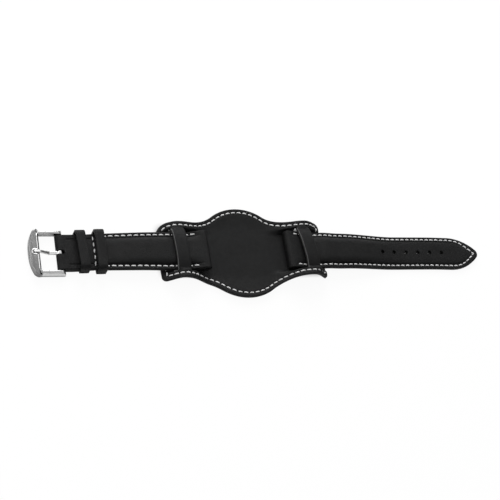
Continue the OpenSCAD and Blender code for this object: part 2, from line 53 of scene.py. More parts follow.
# The strap's sizes, as in the source of the part
lug_w = 20.0
end_w = 18.0
short_lug_x = 19.0
short_len = 76.0
long_lug_x = 22.5
long_len = 115.0
top_t = 1.0
lining_t = 0.9
filler_edge_t = 0.3
filler_mid_t = 1.9
filler_end_t = 0.7
lug_h = 4.5
lug_bore_r = 0.95
lug_flap_len = 11.0
hole_count = 6
hole_pitch = 7.2
hole_r = 1.0
hole_inset = 22.5
tip_len = 17.4
tip_r = 3.0
leather_edge_r = 0.42
skive_rows = 6
skived_share = 0.35

# The pad's sizes
pad_len = 88.0
disc_r = 24.0
wing_half = 15.0
waist_r = 26.0
wing_corner_r = 2.5
pad_layer_t = 1.1
bridge_x = 34.0
bridge_len = 6.6
slit_w = 0.7
wing_lift = 0.7
wave_h = {(0, 1): 5.2, (0, -1): 6.2, (1, 1): 7.0, (1, -1): 8.6}
wave_in = {(0, 1): 20.0, (0, -1): 15.0, (1, 1): 21.0, (1, -1): 20.0}
wave_out = (10.0, 13.0)
seat_rise = 15.0
bridge_skew = (0.03, 0.11)
lifted_corner_r = 5.5
dish_rise = {1: 0.8, -1: 1.2}
seat_bow = 0.15
bridge_spare = (0.05, 1.25)

# The buckle's and the keepers' sizes
bar_r = 0.75
frame_reach = 15.2
front_len = 5.5
front_h = 4.4
seat_inset = 1.8
coil_r = 0.3
coil_len = 4.6
wire_r = 0.1
tongue_w = 1.6
slot_back = 2.1
keeper_len = 4.6
keeper_t = 1.2
keeper_h = 5.1
fixed_keeper_at = 10.2
free_keeper_at = 19.0
keeper_end_t = 0.5
keeper_skew = 0.05
gap = 0.3
loop_fit = 0.1
clear = 0.034

# Sewing
strap_inset = 1.6
padding_inset = strap_inset + 0.95
tip_extra = 1.05
pad_inset = 2.1
short_pitch = 3.2
long_pitch = 2.96
pad_pitch = 3.05
thread_r = 0.33
under_thread_r = 0.27
thread_stand = 0.06
under_stand = -0.28
short_row_start = 6.2
long_row_start = 4.6
cross_row_a = 77.0

# Derived places
seat_z = wing_lift + 2 * pad_layer_t + gap
edge_t = lining_t + filler_edge_t + top_t
mid_t = lining_t + filler_mid_t + top_t
slit_half = lug_w / 2 + 1.5
seat_half = lug_w / 2 + 0.1
bridge_in = bridge_x - bridge_len / 2
bridge_out = bridge_x + bridge_len / 2
lug_r = lug_h / 2
lug_wall = lug_r + lug_bore_r + 0.9
short_lug_fade = 10.5
long_lug_fade = 14.5
lug_z = seat_z + lug_r
short_level = pad_len / 2 + 9
loop_r = bar_r + loop_fit + top_t
bar_a = short_lug_x + short_len - loop_r
bar_z = loop_r + 0.05
loop_wall = bar_a - 3.7
slope_end_z = bar_z + bar_r + loop_fit - filler_edge_t - lining_t
short_slope = (seat_z - slope_end_z) / (loop_wall - short_level)
short_taper_end = 72.0
flap_end = bar_a - 15.6
long_level = pad_len / 2 + 11
long_tip = long_lug_x + long_len
long_down = 88.0
tail_bend = 0.6
hump_h = 0.7
hump_a = 45.0
worn_spread = 0.3
long_taper_end = 86.0
tip_from = long_tip - tip_len
short_first_hole = short_lug_x + short_row_start
long_first_hole = long_lug_x + long_row_start
end_half = end_w / 2
ogive_r = ((tip_len - tip_r) ** 2 + end_half ** 2 - tip_r ** 2) / (end_w - 2 * tip_r)


def smooth(t):
    t = min(1.0, max(0.0, t))
    return t * t * (3 - 2 * t)


def mix(p, q, t):
    return p + (q - p) * t


def soft_ramp(u, r):
    if u <= -r:
        return 0.0
    return u if u >= r else (u + r) ** 2 / (4 * r)


def steps(low, high, count):
    return [mix(low, high, k / count) for k in range(count + 1)]


def taper(a, start, end):
    return mix(lug_w / 2, end_half, min(1, max(0, (a - start) / (end - start))))


def short_half(a):
    worn = worn_spread * smooth((a - 30) / 12) * (1 - smooth((a - 74) / 6.5))
    return taper(a, short_lug_x + lug_r, short_taper_end) + worn


def long_half(a):
    return taper(a, long_lug_x + lug_r, long_taper_end)


def short_z(a):
    return seat_z - short_slope * soft_ramp(a - short_level, 3)


def long_z(a):
    hump = hump_h * exp(-((a - hump_a) / 5) ** 2)
    return seat_z * (1 - smooth((a - long_level) / (long_down - long_level))) + hump


def padding_rise(a, lug_x):
    """From 0 at the top of the lug end's nose to 1 where only the padding is left."""
    fade = short_lug_fade if lug_x == short_lug_x else long_lug_fade
    return smooth((a - lug_x - lug_r) / (fade - lug_r))


def edge_fill(a, lug_x):
    return mix(lug_h - top_t - lining_t, filler_edge_t, padding_rise(a, lug_x))


def crown_fill(a, lug_x, thin, end):
    thinned = (filler_mid_t - filler_end_t) * smooth((a - thin[0]) / (thin[1] - thin[0]))
    full = filler_mid_t - filler_edge_t - thinned
    return full * padding_rise(a, lug_x) * (1 - smooth((a - end[0]) / (end[1] - end[0])))


def short_crown(a):
    return crown_fill(a, short_lug_x, (short_level, bar_a - 14), (bar_a - 14, bar_a - 6))


def long_crown(a):
    return crown_fill(a, long_lug_x, (long_level, long_down + 10), (long_tip - 9, long_tip - 2))


def crown_share(e):
    """How much of the padding's height shows at distance e from the strap's edge."""
    u = min(1.0, max(0.0, (e - padding_inset) / 3.6))
    return sin(pi / 2 * u ** 0.65)


def crease(e):
    """A line pressed in beside the seam, where the padding begins."""
    return 0.3 * exp(-((e - padding_inset) / 0.3) ** 2)


def edge_drop(e, r):
    return r - sqrt(r * r - (r - e) ** 2) if e < r else 0.0


def sewn_drop(e, inset, along, pitch, depth):
    """How far a stitch line pulls the leather in, most at the needle holes."""
    off = e - inset
    hole = (0.5 + 0.5 * cos(2 * pi * along / pitch)) ** 3
    return depth * exp(-(off / 0.5) ** 2) + depth * hole * exp(-(off / 0.38) ** 2)


# Meshes

def add_object(name, data):
    obj = bpy.data.objects.new(name, data)
    bpy.context.scene.collection.objects.link(obj)
    return obj


def make_object(name, points, faces, angle=sharp_angle):
    mesh = bpy.data.meshes.new(name)
    mesh.from_pydata([tuple(c * MM for c in p) for p in points], [], faces)
    bm = bmesh.new()
    bm.from_mesh(mesh)
    bmesh.ops.remove_doubles(bm, verts=bm.verts, dist=2e-6)
    bmesh.ops.recalc_face_normals(bm, faces=bm.faces)
    bm.to_mesh(mesh)
    bm.free()
    mesh.shade_smooth()
    mesh.set_sharp_from_angle(angle=radians(angle))
    return add_object(name, mesh)


def dress(obj, body, slot, material, *nodes):
    """Gives a piece its material and its body, and hides the nodes it stands for; slot is not used."""
    obj.data.materials.clear()
    obj.data.materials.append(material)
    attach(obj, body)
    if nodes:
        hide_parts(*nodes)
    return obj


def loft(outer, inner, caps=(True, True)):
    """Points and faces of a solid between two grids with the same rows and columns."""
    rows = len(outer)
    cols = len(outer[0])
    size = rows * cols
    points = [p for row in outer for p in row] + [p for row in inner for p in row]
    faces = []
    for i in range(rows - 1):
        for j in range(cols - 1):
            k = i * cols + j
            faces.append((k, k + 1, k + cols + 1, k + cols))
            faces.append((k + size, k + size + cols, k + size + cols + 1, k + size + 1))
        for k in (i * cols, i * cols + cols - 1):
            faces.append((k, k + cols, k + cols + size, k + size))
    for row, capped in ((0, caps[0]), (rows - 1, caps[1])):
        for k in range(row * cols, row * cols + cols - 1):
            if capped:
                faces.append((k, k + 1, k + 1 + size, k + size))
    return points, faces


def rod_faces(rings, sides, base=0):
    """Faces between rings of points, with both ends closed."""
    faces = []
    for low in range(base, base + (rings - 1) * sides, sides):
        for k in range(sides):
            n = (k + 1) % sides
            faces.append((low + k, low + n, low + sides + n, low + sides + k))
    last = base + (rings - 1) * sides
    return faces + [tuple(range(base, base + sides)), tuple(range(last, last + sides))]


def cylinder_parts(centre, axis, r, length, sides=40, flare=0.0):
    """A cutter along an axis, "y" or "z"; flare widens both ends in a small fillet."""
    rings = [(-length / 2, r), (length / 2, r)]
    if flare:
        low, high = -length / 2, length / 2
        turn = [k * pi / 8 for k in range(5)]
        rings = [(low - flare * 2, r + flare), (low, r + flare)]
        rings += [(low + flare * sin(q), r + flare * (1 - sin(q))) for q in turn[1:]]
        rings += [(high - flare * cos(q), r + flare * (1 - cos(q))) for q in turn]
        rings += [(high + flare * 2, r + flare)]
    points = []
    for h, ring_r in rings:
        for k in range(sides):
            q = 2 * pi * (k + 0.3) / sides
            u, v = ring_r * cos(q), ring_r * sin(q)
            offset = (u, h, v) if axis == "y" else (u, v, h)
            points.append(tuple(c + o for c, o in zip(centre, offset)))
    return points, rod_faces(len(rings), sides)


def lug_bore_cutter(x):
    return cylinder_parts((x, 0, lug_z), "y", lug_bore_r, lug_w + clear, flare=0.12)


def slot_parts(side, low_z, high_z):
    """A cutter for the tongue's slot, with a round inner end."""
    half = tongue_w / 2 + gap
    start = bar_a - slot_back + half
    plan = [(bar_a + 10, -half), (bar_a + 10, half)]
    plan += [(start - half * sin(q), half * cos(q)) for q in steps(0, pi, 16)]
    points = [(side * a, y, z) for z in (low_z, high_z) for a, y in plan]
    n = len(plan)
    faces = [(k, (k + 1) % n, n + (k + 1) % n, n + k) for k in range(n)]
    faces += [tuple(range(n)), tuple(range(n, 2 * n))]
    return points, faces


def join_parts(name, parts, angle=70):
    points, faces = [], []
    for part_points, part_faces in parts:
        faces += [tuple(i + len(points) for i in f) for f in part_faces]
        points += part_points
    return make_object(name, points, faces, angle)


def cut(obj, *parts):
    """Takes the cutters out of obj's mesh."""
    cutter = join_parts(obj.name + "_cutter", parts, sharp_angle)
    modifier = obj.modifiers.new("cut", "BOOLEAN")
    modifier.object = cutter
    modifier.operation = "DIFFERENCE"
    modifier.solver = "EXACT"
    modifier.use_self = True
    bpy.context.view_layer.update()
    evaluated = obj.evaluated_get(bpy.context.evaluated_depsgraph_get())
    mesh = bpy.data.meshes.new_from_object(evaluated)
    obj.modifiers.clear()
    obj.data = mesh
    bpy.data.objects.remove(cutter)
    mesh.shade_smooth()
    mesh.set_sharp_from_angle(angle=radians(sharp_angle))
    return obj


# Straps: every row across a strap has the same columns, counted in from its edge

def column_offsets(reach, edge_r):
    """Distances from the edge to the middle: the rounded edge, the sewn line, the padding."""
    edge = [edge_r * (1 - cos(k * pi / 8)) for k in range(5)]
    margin = steps(edge_r, strap_inset - 0.75, 2)[1:]
    line = steps(strap_inset - 0.75, strap_inset + 1.65, 10)[1:]
    rest = [mix(strap_inset + 1.65, reach, (k / 11) ** 1.2) for k in range(1, 12)]
    return edge + margin + line + rest


class Row:
    """One row across a strap: where its edge is, where it meets the middle, and its up."""

    def __init__(self, a, z, half, normal=(0.0, 1.0), middle_a=None, top=None):
        self.a = a
        self.z = z
        self.half = half
        self.normal = normal
        self.middle_a = a if middle_a is None else middle_a
        self.top = top
        self.reach = hypot(half, self.middle_a - a)
        self.along = 0.0

    def at(self, e):
        """Distance along and half width at distance e in from the edge."""
        share = e / self.reach
        return mix(self.a, self.middle_a, share), mix(self.half, 0.0, share)


def mirrored(side, found):
    """A row's points from its far edge to its near edge, from those of the far half."""
    far = [(side * a, y, z) for a, y, z in found]
    return far + [(x, -y, z) for x, y, z in reversed(far[:-1])]


def row_points(row, side, depth, pitch, sewn, flat=False):
    """The points of a row of the top leather's outer or inner side."""
    found = []
    for e in column_offsets(row.reach, leather_edge_r):
        a, y = row.at(e)
        rise = 0.0 if flat else -edge_drop(e, leather_edge_r)
        if row.top is not None:
            z = row.top(a, e)
            if not flat and sewn(a):
                rise -= sewn_drop(e, seam_inset(row.a), row.along, pitch, depth)
            found.append((a, y, z + rise))
        else:
            found.append((a + row.normal[0] * rise, y, row.z + row.normal[1] * rise))
    return mirrored(side, found)


def seam_inset(a):
    """The sewn line's distance from the edge, which grows at the tail's tip."""
    return strap_inset + tip_extra * smooth((a - long_tip + 12) / 9)


def measure_rows(rows, first_hole):
    """Counts each row's distance along the sewn line from its first hole."""
    measured = [row for row in rows if row.top is not None]
    before = None
    along = 0.0
    for row in measured:
        a, y = row.at(seam_inset(row.a))
        z = row.top(a, strap_inset)
        if before:
            along += hypot(a - before[0], y - before[1], z - before[2])
        before = (a, y, z)
        row.along = along
    zero = np.interp(first_hole, [row.a for row in measured], [row.along for row in measured])
    for row in measured:
        row.along -= zero


def top_surface(z_low, lug_x, crown):
    def height(a, e):
        base = z_low(a) + lining_t + edge_fill(a, lug_x) + top_t
        return base + crown(a) * crown_share(e) - crease(e) * padding_rise(a, lug_x)
    return height


def nose_rows(lug_x, half):
    """Outer and inner rows from the folded-under leather round the lug end to its top."""
    end = lug_x + lug_flap_len
    outer = [Row(a, seat_z, half, (0, -1)) for a in steps(end, lug_x + lug_r, 10)]
    inner = [Row(a, seat_z + lining_t, half) for a in steps(end, lug_x + lug_wall, 10)]
    for q in steps(0, pi, 28)[1:]:
        outer.append(Row(lug_x + lug_r - lug_r * sin(q), lug_z - lug_r * cos(q), half,
                         (-sin(q), -cos(q))))
        inner.append(Row(lug_x + lug_wall,
                         seat_z + lining_t + (lug_h - lining_t - top_t) * q / pi, half))
    return outer, inner


def skive(outer, inner):
    """Thins the folded-under end of a leather towards its edge."""
    for k in range(skive_rows):
        thin = mix(inner[k].z, outer[k].z, skived_share)
        outer[k].z = mix(thin, outer[k].z, smooth(k / skive_rows))


def leather_rows(lug_x, half_at, top_z, inner_z, main_rows):
    """Rows from the folded-under end, round the lug end and along the strap."""
    outer, inner = nose_rows(lug_x, lug_w / 2)
    skive(outer, inner)
    start = lug_x + lug_wall
    for a in steps(lug_x + lug_r, start, 4)[1:-1]:
        outer.append(Row(a, 0, half_at(a), top=top_z))
        inner.append(Row(start, 0, lug_w / 2, top=inner_z))
    return outer + main_rows(top_z, start), inner + main_rows(inner_z, start)


def strap_leather(name, side, outer, inner, pitch, sewn, first_hole, cap_end=True):
    measure_rows(outer, first_hole)
    outer_points = [row_points(r, side, 0.2, pitch, sewn) for r in outer]
    inner_points = [row_points(r, side, 0, pitch, sewn, flat=True) for r in inner]
    return make_object(name, *loft(outer_points, inner_points, (True, cap_end)))


def inner_surface(z_low, lug_x, crown):
    def height(a, e):
        return z_low(a) + lining_t + edge_fill(a, lug_x) + crown(a) * crown_share(e)
    return height


def level(z_low, rise):
    def height(a, e):
        return z_low(a) + rise
    return height


short_top_z = top_surface(short_z, short_lug_x, short_crown)
short_inner_z = inner_surface(short_z, short_lug_x, short_crown)
long_top_z = top_surface(long_z, long_lug_x, long_crown)
long_inner_z = inner_surface(long_z, long_lug_x, long_crown)


def short_sewn(a):
    return short_first_hole - 0.2 < a < cross_row_a + 0.4


def long_sewn(a):
    return a > long_first_hole - 0.2


def short_main_rows(height, start, step=0.42):
    count = int((loop_wall - start) / step)
    return [Row(a, 0, short_half(a), top=height) for a in steps(start, loop_wall, count)]


def flap_z(a):
    """Upper side of the flap under the strap, which dips under the fixed keeper's ends."""
    keeper_a = bar_a - fixed_keeper_at
    before = short_z(a) - keeper_end_t * smooth(a - keeper_a + keeper_len / 2 + 1.2)
    start = keeper_a + keeper_len / 2 + 0.4
    near_bar = smooth((a - start) / (loop_wall - start))
    return mix(before, bar_z - loop_r + top_t, near_bar)


def short_leather():
    outer, inner = leather_rows(short_lug_x, short_half, short_top_z, short_inner_z, short_main_rows)
    half = short_half(bar_a)
    wall_top = slope_end_z + lining_t + filler_edge_t
    wall_low = bar_z - loop_r + top_t
    for a in steps(loop_wall, bar_a, 8)[1:]:
        outer.append(Row(a, bar_z + loop_r, half))
        inner.append(Row(loop_wall, wall_top, half))
    for q in steps(0, pi, 28)[1:]:
        outer.append(Row(bar_a + loop_r * sin(q), bar_z + loop_r * cos(q), half, (sin(q), cos(q))))
        inner.append(Row(loop_wall, mix(wall_top, wall_low, q / pi), half))
    for a in steps(loop_wall - 0.05, flap_end, 26):
        thin = mix(skived_share, 1.0, smooth((a - flap_end) / 4))
        outer.append(Row(a, flap_z(a) - top_t * thin, short_half(a), (0, -1)))
        inner.append(Row(a, flap_z(a), short_half(a)))
    obj = strap_leather("short_strap_leather", -1, outer, inner, short_pitch, short_sewn,
                        short_first_hole)
    return cut(obj, lug_bore_cutter(-short_lug_x - lug_r),
               cylinder_parts((-bar_a, 0, bar_z), "y", bar_r + loop_fit, end_w + 2),
               slot_parts(-1, -5, 10))


def tip_rows(height):
    """Rows that turn with the outline of the tail's ogive and round nose."""
    centre_y = ogive_r - end_half
    turn = atan((tip_len - tip_r) / centre_y)
    rows = []
    for q in steps(0, turn, 34)[1:]:
        a = tip_from + ogive_r * sin(q)
        y = ogive_r * cos(q) - centre_y
        rows.append(Row(a, 0, y, middle_a=a - y * tan(q), top=height))
    for q in steps(turn, pi / 2, 14)[1:]:
        y = tip_r * cos(q) if q < pi / 2 - 1e-6 else 0.0
        a = long_tip - tip_r + tip_r * sin(q)
        rows.append(Row(a, 0, y, middle_a=long_tip - tip_r, top=height))
    return rows


def long_main_rows(height, start, step=0.42):
    count = int((tip_from - start) / step)
    rows = [Row(a, 0, long_half(a), top=height) for a in steps(start, tip_from, count)]
    return rows + tip_rows(height)


def buckle_hole_cutters(flare):
    found = []
    for k in range(hole_count):
        a = long_tip - hole_inset - k * hole_pitch
        low = long_z(a)
        high = long_top_z(a, far_off)
        middle = (a, 0, (low + high) / 2)
        found.append(cylinder_parts(middle, "z", hole_r, high - low + clear, 32, flare))
    return found


def long_leather():
    outer, inner = leather_rows(long_lug_x, long_half, long_top_z, long_inner_z, long_main_rows)
    obj = strap_leather("long_strap_leather", 1, outer, inner, long_seam_pitch(), long_sewn,
                        long_first_hole, cap_end=False)
    return cut(obj, lug_bore_cutter(long_lug_x + lug_r), *buckle_hole_cutters(0.15))


def under_points(row, side, height, edge_r, depth, pitch, sewn, inset=0.0):
    """A row of the lining's underside or of the filler, drawn in from the leather's edge."""
    found = []
    for e in column_offsets(row.reach, edge_r):
        a, y = row.at(min(row.reach, e + inset * (1 - e / row.reach)))
        z = height(a, e) + edge_drop(e, edge_r) * (1 if depth >= 0 else -1)
        if depth > 0 and sewn(a):
            z += sewn_drop(e, seam_inset(row.a), row.along, pitch, depth)
        found.append((a, y, z))
    return mirrored(side, found)


def layer(name, side, rows, high, low, pitch, sewn, edge_r, inset, depth, cap_end):
    measure_rows(rows, short_first_hole if side < 0 else long_first_hole)
    upper = [under_points(r, side, high, 0.15, -1, pitch, sewn, inset) for r in rows]
    lower = [under_points(r, side, low, edge_r, depth, pitch, sewn, inset) for r in rows]
    return make_object(name, *loft(upper, lower, (True, cap_end)))


def strap_layers(half, side, lug_x, main_rows, top_z, inner_z, z_low, pitch, sewn):
    """A half's filler, drawn in a little between the leathers, and its lining."""
    capped = side < 0
    rows = main_rows(top_z, lug_x + lug_wall)
    filler = layer(half + "_strap_core", side, rows, inner_z, level(z_low, lining_t), pitch, sewn,
                   edge_r=0.1, inset=0.14, depth=0, cap_end=capped)
    rows = main_rows(top_z, lug_x + lug_flap_len + 0.05)
    lining = layer(half + "_strap_backing", side, rows, level(z_low, lining_t - 0.01),
                   level(z_low, 0), pitch, sewn, edge_r=0.3, inset=0, depth=0.16, cap_end=capped)
    return filler, lining


# Pad

waist_x = sqrt((disc_r + waist_r) ** 2 - (wing_half + waist_r) ** 2)


def pad_margin_z(a, side, far):
    """The margins rise in a wave beside the bridge of side 0, the buckle's, or 1, the tail's."""
    reach_in = wave_in[side, far]
    base = wing_lift * smooth((a - bridge_x + reach_in) / reach_in)
    u = (bridge_x - a) / reach_in if a < bridge_x else (a - bridge_x) / wave_out[side]
    return base + (wave_h[side, far] - base) * ((1 + cos(pi * u)) / 2 if u < 1 else 0)


def pad_middle_z(a, y, side):
    share = min(1, y / seat_half)
    if bridge_in - slit_w / 2 < a < bridge_out + slit_w / 2:
        low = seat_z + gap + bridge_spare[side]
        return low + mix(mid_t, edge_t, share ** 3)
    rise = smooth((a - bridge_x + seat_rise) / (seat_rise - bridge_len / 2 - slit_w))
    droop = seat_bow * (max(0, a - bridge_out) / (pad_len / 2 - bridge_out)) ** 2
    return (wing_lift - seat_bow * (1 - share ** 2)) * rise - droop


def pad_z(x, y):
    """Height of the pad's underside."""
    a, side, far = abs(x), int(x > 0), 1 if y > 0 else -1
    to_margin = smooth((abs(y) - seat_half) / (slit_half - seat_half))
    dish = dish_rise[far] * smooth((abs(y) - slit_half) / (disc_r - slit_half))
    return mix(pad_middle_z(a, abs(y), side), pad_margin_z(a, side, far), to_margin) + dish


def pad_quarter(inset, spacing, corner):
    """From the disc's middle line round one corner of the given radius to the wing's end."""
    meet = atan(waist_x / (wing_half + waist_r))
    r = disc_r - inset
    count = round(disc_r * meet / spacing)
    quarter = [(r * sin(q), r * cos(q)) for q in steps(0, meet, count)]
    r = waist_r + inset
    count = round(waist_r * meet / spacing)
    quarter += [(waist_x - r * sin(q), wing_half + waist_r - r * cos(q))
                for q in steps(meet, 0, count)[1:]]
    r = max(0.4, corner - inset)
    corner_x = pad_len / 2 - inset - r
    corner_y = wing_half - inset - r
    count = round((pad_len / 2 - corner - waist_x) / spacing)
    quarter += [(x, wing_half - inset) for x in steps(waist_x, corner_x, count)[1:]]
    quarter += [(corner_x + r * sin(q), corner_y + r * cos(q)) for q in steps(0, pi / 2, 14)[1:]]
    count = round((wing_half - corner) / spacing)
    return quarter + [(pad_len / 2 - inset, y) for y in steps(corner_y, 0, count)[1:]]


def pad_outline(inset=0.0, spacing=0.6):
    """The pad's outline, drawn in by inset, from the far side's middle round by the tail's end."""
    plain = pad_quarter(inset, spacing, wing_corner_r)
    lifted = pad_quarter(inset, spacing, lifted_corner_r)
    right = plain + [(x, -y) for x, y in reversed(plain[:-1])]
    left = [(-x, -y) for x, y in plain[1:]]
    return right + left + [(-x, y) for x, y in reversed(lifted[1:-1])]


def slit_outline(centre, grow=0.0, spacing=0.6):
    """One slit's outline, grown into the leather round it."""
    half_x, half_y = slit_w / 2 + grow, slit_half + grow
    r = 0.35 + grow
    quarter = [(half_x, y) for y in steps(0, half_y - r, round(half_y / spacing))]
    quarter += [(half_x - r + r * cos(q), half_y - r + r * sin(q)) for q in steps(0, pi / 2, 5)[1:]]
    quarter += [(half_x - r, half_y)] if half_x - r > 0.01 else []
    top = quarter + [(-x, y) for x, y in reversed(quarter) if x > 0.011]
    ring = top + [(x, -y) for x, y in reversed(top[1:-1])]
    found = []
    for x, y in ring:
        p = (centre + x, y)
        if not found or hypot(p[0] - found[-1][0], p[1] - found[-1][1]) > 1e-4:
            found.append(p)
    return found


slit_centres = [side * a for side in (-1, 1)
                for a in (bridge_in - slit_w / 2, bridge_out + slit_w / 2)]


def inside(points, ring):
    """Which of the points lie inside a closed ring."""
    found = np.zeros(len(points), bool)
    x, y = points[:, 0], points[:, 1]
    ring = np.array(ring)
    for (x0, y0), (x1, y1) in zip(ring, np.roll(ring, -1, axis=0)):
        if y0 == y1:
            continue
        crosses = (y0 > y) != (y1 > y)
        found ^= crosses & (x < (x1 - x0) * (y - y0) / (y1 - y0) + x0)
    return found


def nearest(points, ring):
    """Distance from each point to the closest point of a ring."""
    ring = np.array(ring)
    best = np.full(len(points), 1e9)
    for x, y in ring:
        best = np.minimum(best, np.hypot(points[:, 0] - x, points[:, 1] - y))
    return best


def pad_net():
    """The pad in plan: points, their distances from the edges and slits, and triangles."""
    edge_r, slit_edge_r = 0.45, 0.3
    offsets = [edge_r * (1 - cos(k * pi / 8)) for k in range(5)]
    offsets += steps(2 * edge_r, pad_inset + 2 * edge_r, 8)
    points, marks, edges = [], [], []
    line = pad_outline(pad_inset)
    lengths = [0.0]
    for p, q in zip(line, line[1:] + line[:1]):
        lengths.append(lengths[-1] + hypot(q[0] - p[0], q[1] - p[1]))
    scale = round(lengths[-1] / pad_pitch) * pad_pitch / lengths[-1]

    def add_ring(ring, e, slit):
        first = len(points)
        for k, p in enumerate(ring):
            points.append(p)
            marks.append((e, slit, lengths[k] * scale if e < far_off else 0.0))
            edges.append((first + k, first + (k + 1) % len(ring)))

    for e in offsets:
        add_ring(pad_outline(e), e, far_off)
    for centre in slit_centres:
        for k in range(4):
            grow = slit_edge_r * (1 - cos(k * pi / 6))
            add_ring(slit_outline(centre, grow), far_off, grow)
    grid = [(x, y) for x in np.arange(-43.5, 44, 0.9) for y in np.arange(-23.4, 24, 0.9)]
    for side in (-1, 1):
        for far in (-1, 1):
            grid += [(side * a, far * y) for a in np.arange(bridge_in - 4, bridge_out + 4, 0.45)
                     for y in np.arange(9.2, 12.3, 0.3)]
    grid = np.array(grid)
    last = pad_outline(offsets[-1])
    keep = inside(grid, last) & (nearest(grid, last) > 0.35)
    for centre in slit_centres:
        ring = slit_outline(centre, slit_edge_r)
        keep &= ~inside(grid, ring) & (nearest(grid, ring) > 0.28)
    for x, y in grid[keep]:
        points.append((x, y))
        marks.append((far_off, far_off, 0.0))
    flat = [Vector(p) for p in points]
    coords, _, triangles, source, _, _ = geometry.delaunay_2d_cdt(flat, edges, [], 0, 1e-5)
    middles = np.array([[sum(coords[i][c] for i in t) / 3 for c in (0, 1)] for t in triangles])
    shown = inside(middles, pad_outline(0))
    for centre in slit_centres:
        shown &= ~inside(middles, slit_outline(centre, 0))
    triangles = [t for t, s in zip(triangles, shown) if s]
    sides = {}
    for t in triangles:
        for i, j in zip(t, t[1:] + t[:1]):
            sides[(min(i, j), max(i, j))] = sides.get((min(i, j), max(i, j)), 0) + 1
    rim = [s for s, n in sides.items() if n == 1]
    plan = [(p[0], p[1]) + marks[s[0]] for p, s in zip(coords, source)]
    return plan, triangles, rim


def bridge_shift(x, y):
    """How far the worn bridges are pulled askew, which is nothing outside the slits' reach."""
    a = abs(x)
    reach = smooth((a - bridge_in + 5) / 4) * (1 - smooth((a - bridge_out - 1) / 4))
    reach *= 1 - smooth((abs(y) - slit_half) / 3)
    return -bridge_skew[int(x > 0)] * y * reach


def pad_plate(name, net, low, high, low_r, high_r, low_depth, high_depth):
    """One of the pad's two layers: low and high are heights above the pad's underside."""
    plan, triangles, rim = net
    upper, lower = [], []
    for x, y, e, slit, along in plan:
        z = pad_z(x, y)
        x += bridge_shift(x, y)
        e_low = edge_drop(min(e, slit), low_r)
        e_high = edge_drop(min(e, slit), high_r)
        e_high += sewn_drop(e, pad_inset, along, pad_pitch, high_depth)
        e_low += sewn_drop(e, pad_inset, along, pad_pitch, low_depth)
        upper.append((x, y, z + high - e_high))
        lower.append((x, y, z + low + e_low))
    size = len(upper)
    faces = list(triangles)
    faces += [tuple(i + size for i in reversed(t)) for t in triangles]
    faces += [(i, j, j + size, i + size) for i, j in rim]
    return make_object(name, upper + lower, faces, 45)


def bridge_highlight_faces(obj):
    """The faces of the cut edge that each bridge turns to the buckle, which get a lighter leather as a
    painted highlight.
    """
    found = []
    for face in obj.data.polygons:
        x, y = face.center.x / MM, face.center.y / MM
        plain = x - bridge_shift(x, y)
        edge = -bridge_out if x < 0 else bridge_in
        if -0.1 < plain - edge < 0.17 and abs(y) < slit_half - 0.5 and face.normal.x < 0.1:
            found.append(face)
    return found


# Sewing thread

def line_lengths(line):
    lengths = [0.0]
    for p, q in zip(line, line[1:]):
        lengths.append(lengths[-1] + (Vector(q) - Vector(p)).length)
    return lengths


def point_on(line, lengths, s):
    """The point at distance s along a line, and the direction there."""
    s = min(max(s, 0.0), lengths[-1] - 1e-6)
    k = int(np.searchsorted(lengths, s, side="right")) - 1
    k = min(k, len(line) - 2)
    p, q = Vector(line[k]), Vector(line[k + 1])
    share = (s - lengths[k]) / max(1e-9, lengths[k + 1] - lengths[k])
    return p.lerp(q, share), (q - p).normalized()


def stitch_row(line, pitch, start, end, stand):
    """The stitches along a line, each a twisted pair of plies; stand is negative underneath."""
    up, r = ((0, 0, 1), thread_r) if stand > 0 else ((0, 0, -1), under_thread_r)
    lengths = line_lengths(line)
    rings, sides = 11, 10
    points, faces = [], []
    k = int(start / pitch)
    while (k + 1) * pitch <= end + 0.05:
        hole = k * pitch
        k += 1
        if hole < start - 0.05:
            continue
        base = len(points)
        wobble = noise.noise(Vector((hole * 0.37, len(line) * 0.11, 3.7)))
        for i in range(rings):
            t = i / (rings - 1)
            s = hole + pitch * mix(0.13, 0.87, t)
            p, along = point_on(line, lengths, s)
            normal = Vector(up)
            across = along.cross(normal).normalized()
            bow = 1 - abs(2 * t - 1) ** 3.5
            p = p + normal * (stand * bow - r * 1.5 * (1 - bow))
            p = p + across * ((t - 0.5) * 0.16 + 0.05 * wobble)
            ring_r = r * (0.55 + 0.45 * min(1, bow * 1.6)) * (1 + 0.06 * wobble)
            turn = 2 * pi * 0.9 * t
            for j in range(sides):
                q = 2 * pi * j / sides
                lobe = 0.84 + 0.2 * abs(cos(q - turn))
                points.append(tuple(p + (across * cos(q) + normal * sin(q)) * ring_r * lobe))
        faces += rod_faces(rings, sides, base)
    return points, faces


def strap_seam(rows, side, far, height):
    """The sewn line of one edge of a strap, on the given surface."""
    found = []
    for row in rows:
        a, y = row.at(seam_inset(row.a))
        found.append((side * a, far * y, height(a, strap_inset)))
    return found


def long_seam_pitch():
    """The stitch length that divides the long half's whole seam evenly."""
    seam = strap_seam(long_main_rows(long_top_z, long_first_hole, 0.8), 1, 1, long_top_z)
    total = 2 * line_lengths(seam)[-1]
    return total / round(total / long_pitch)


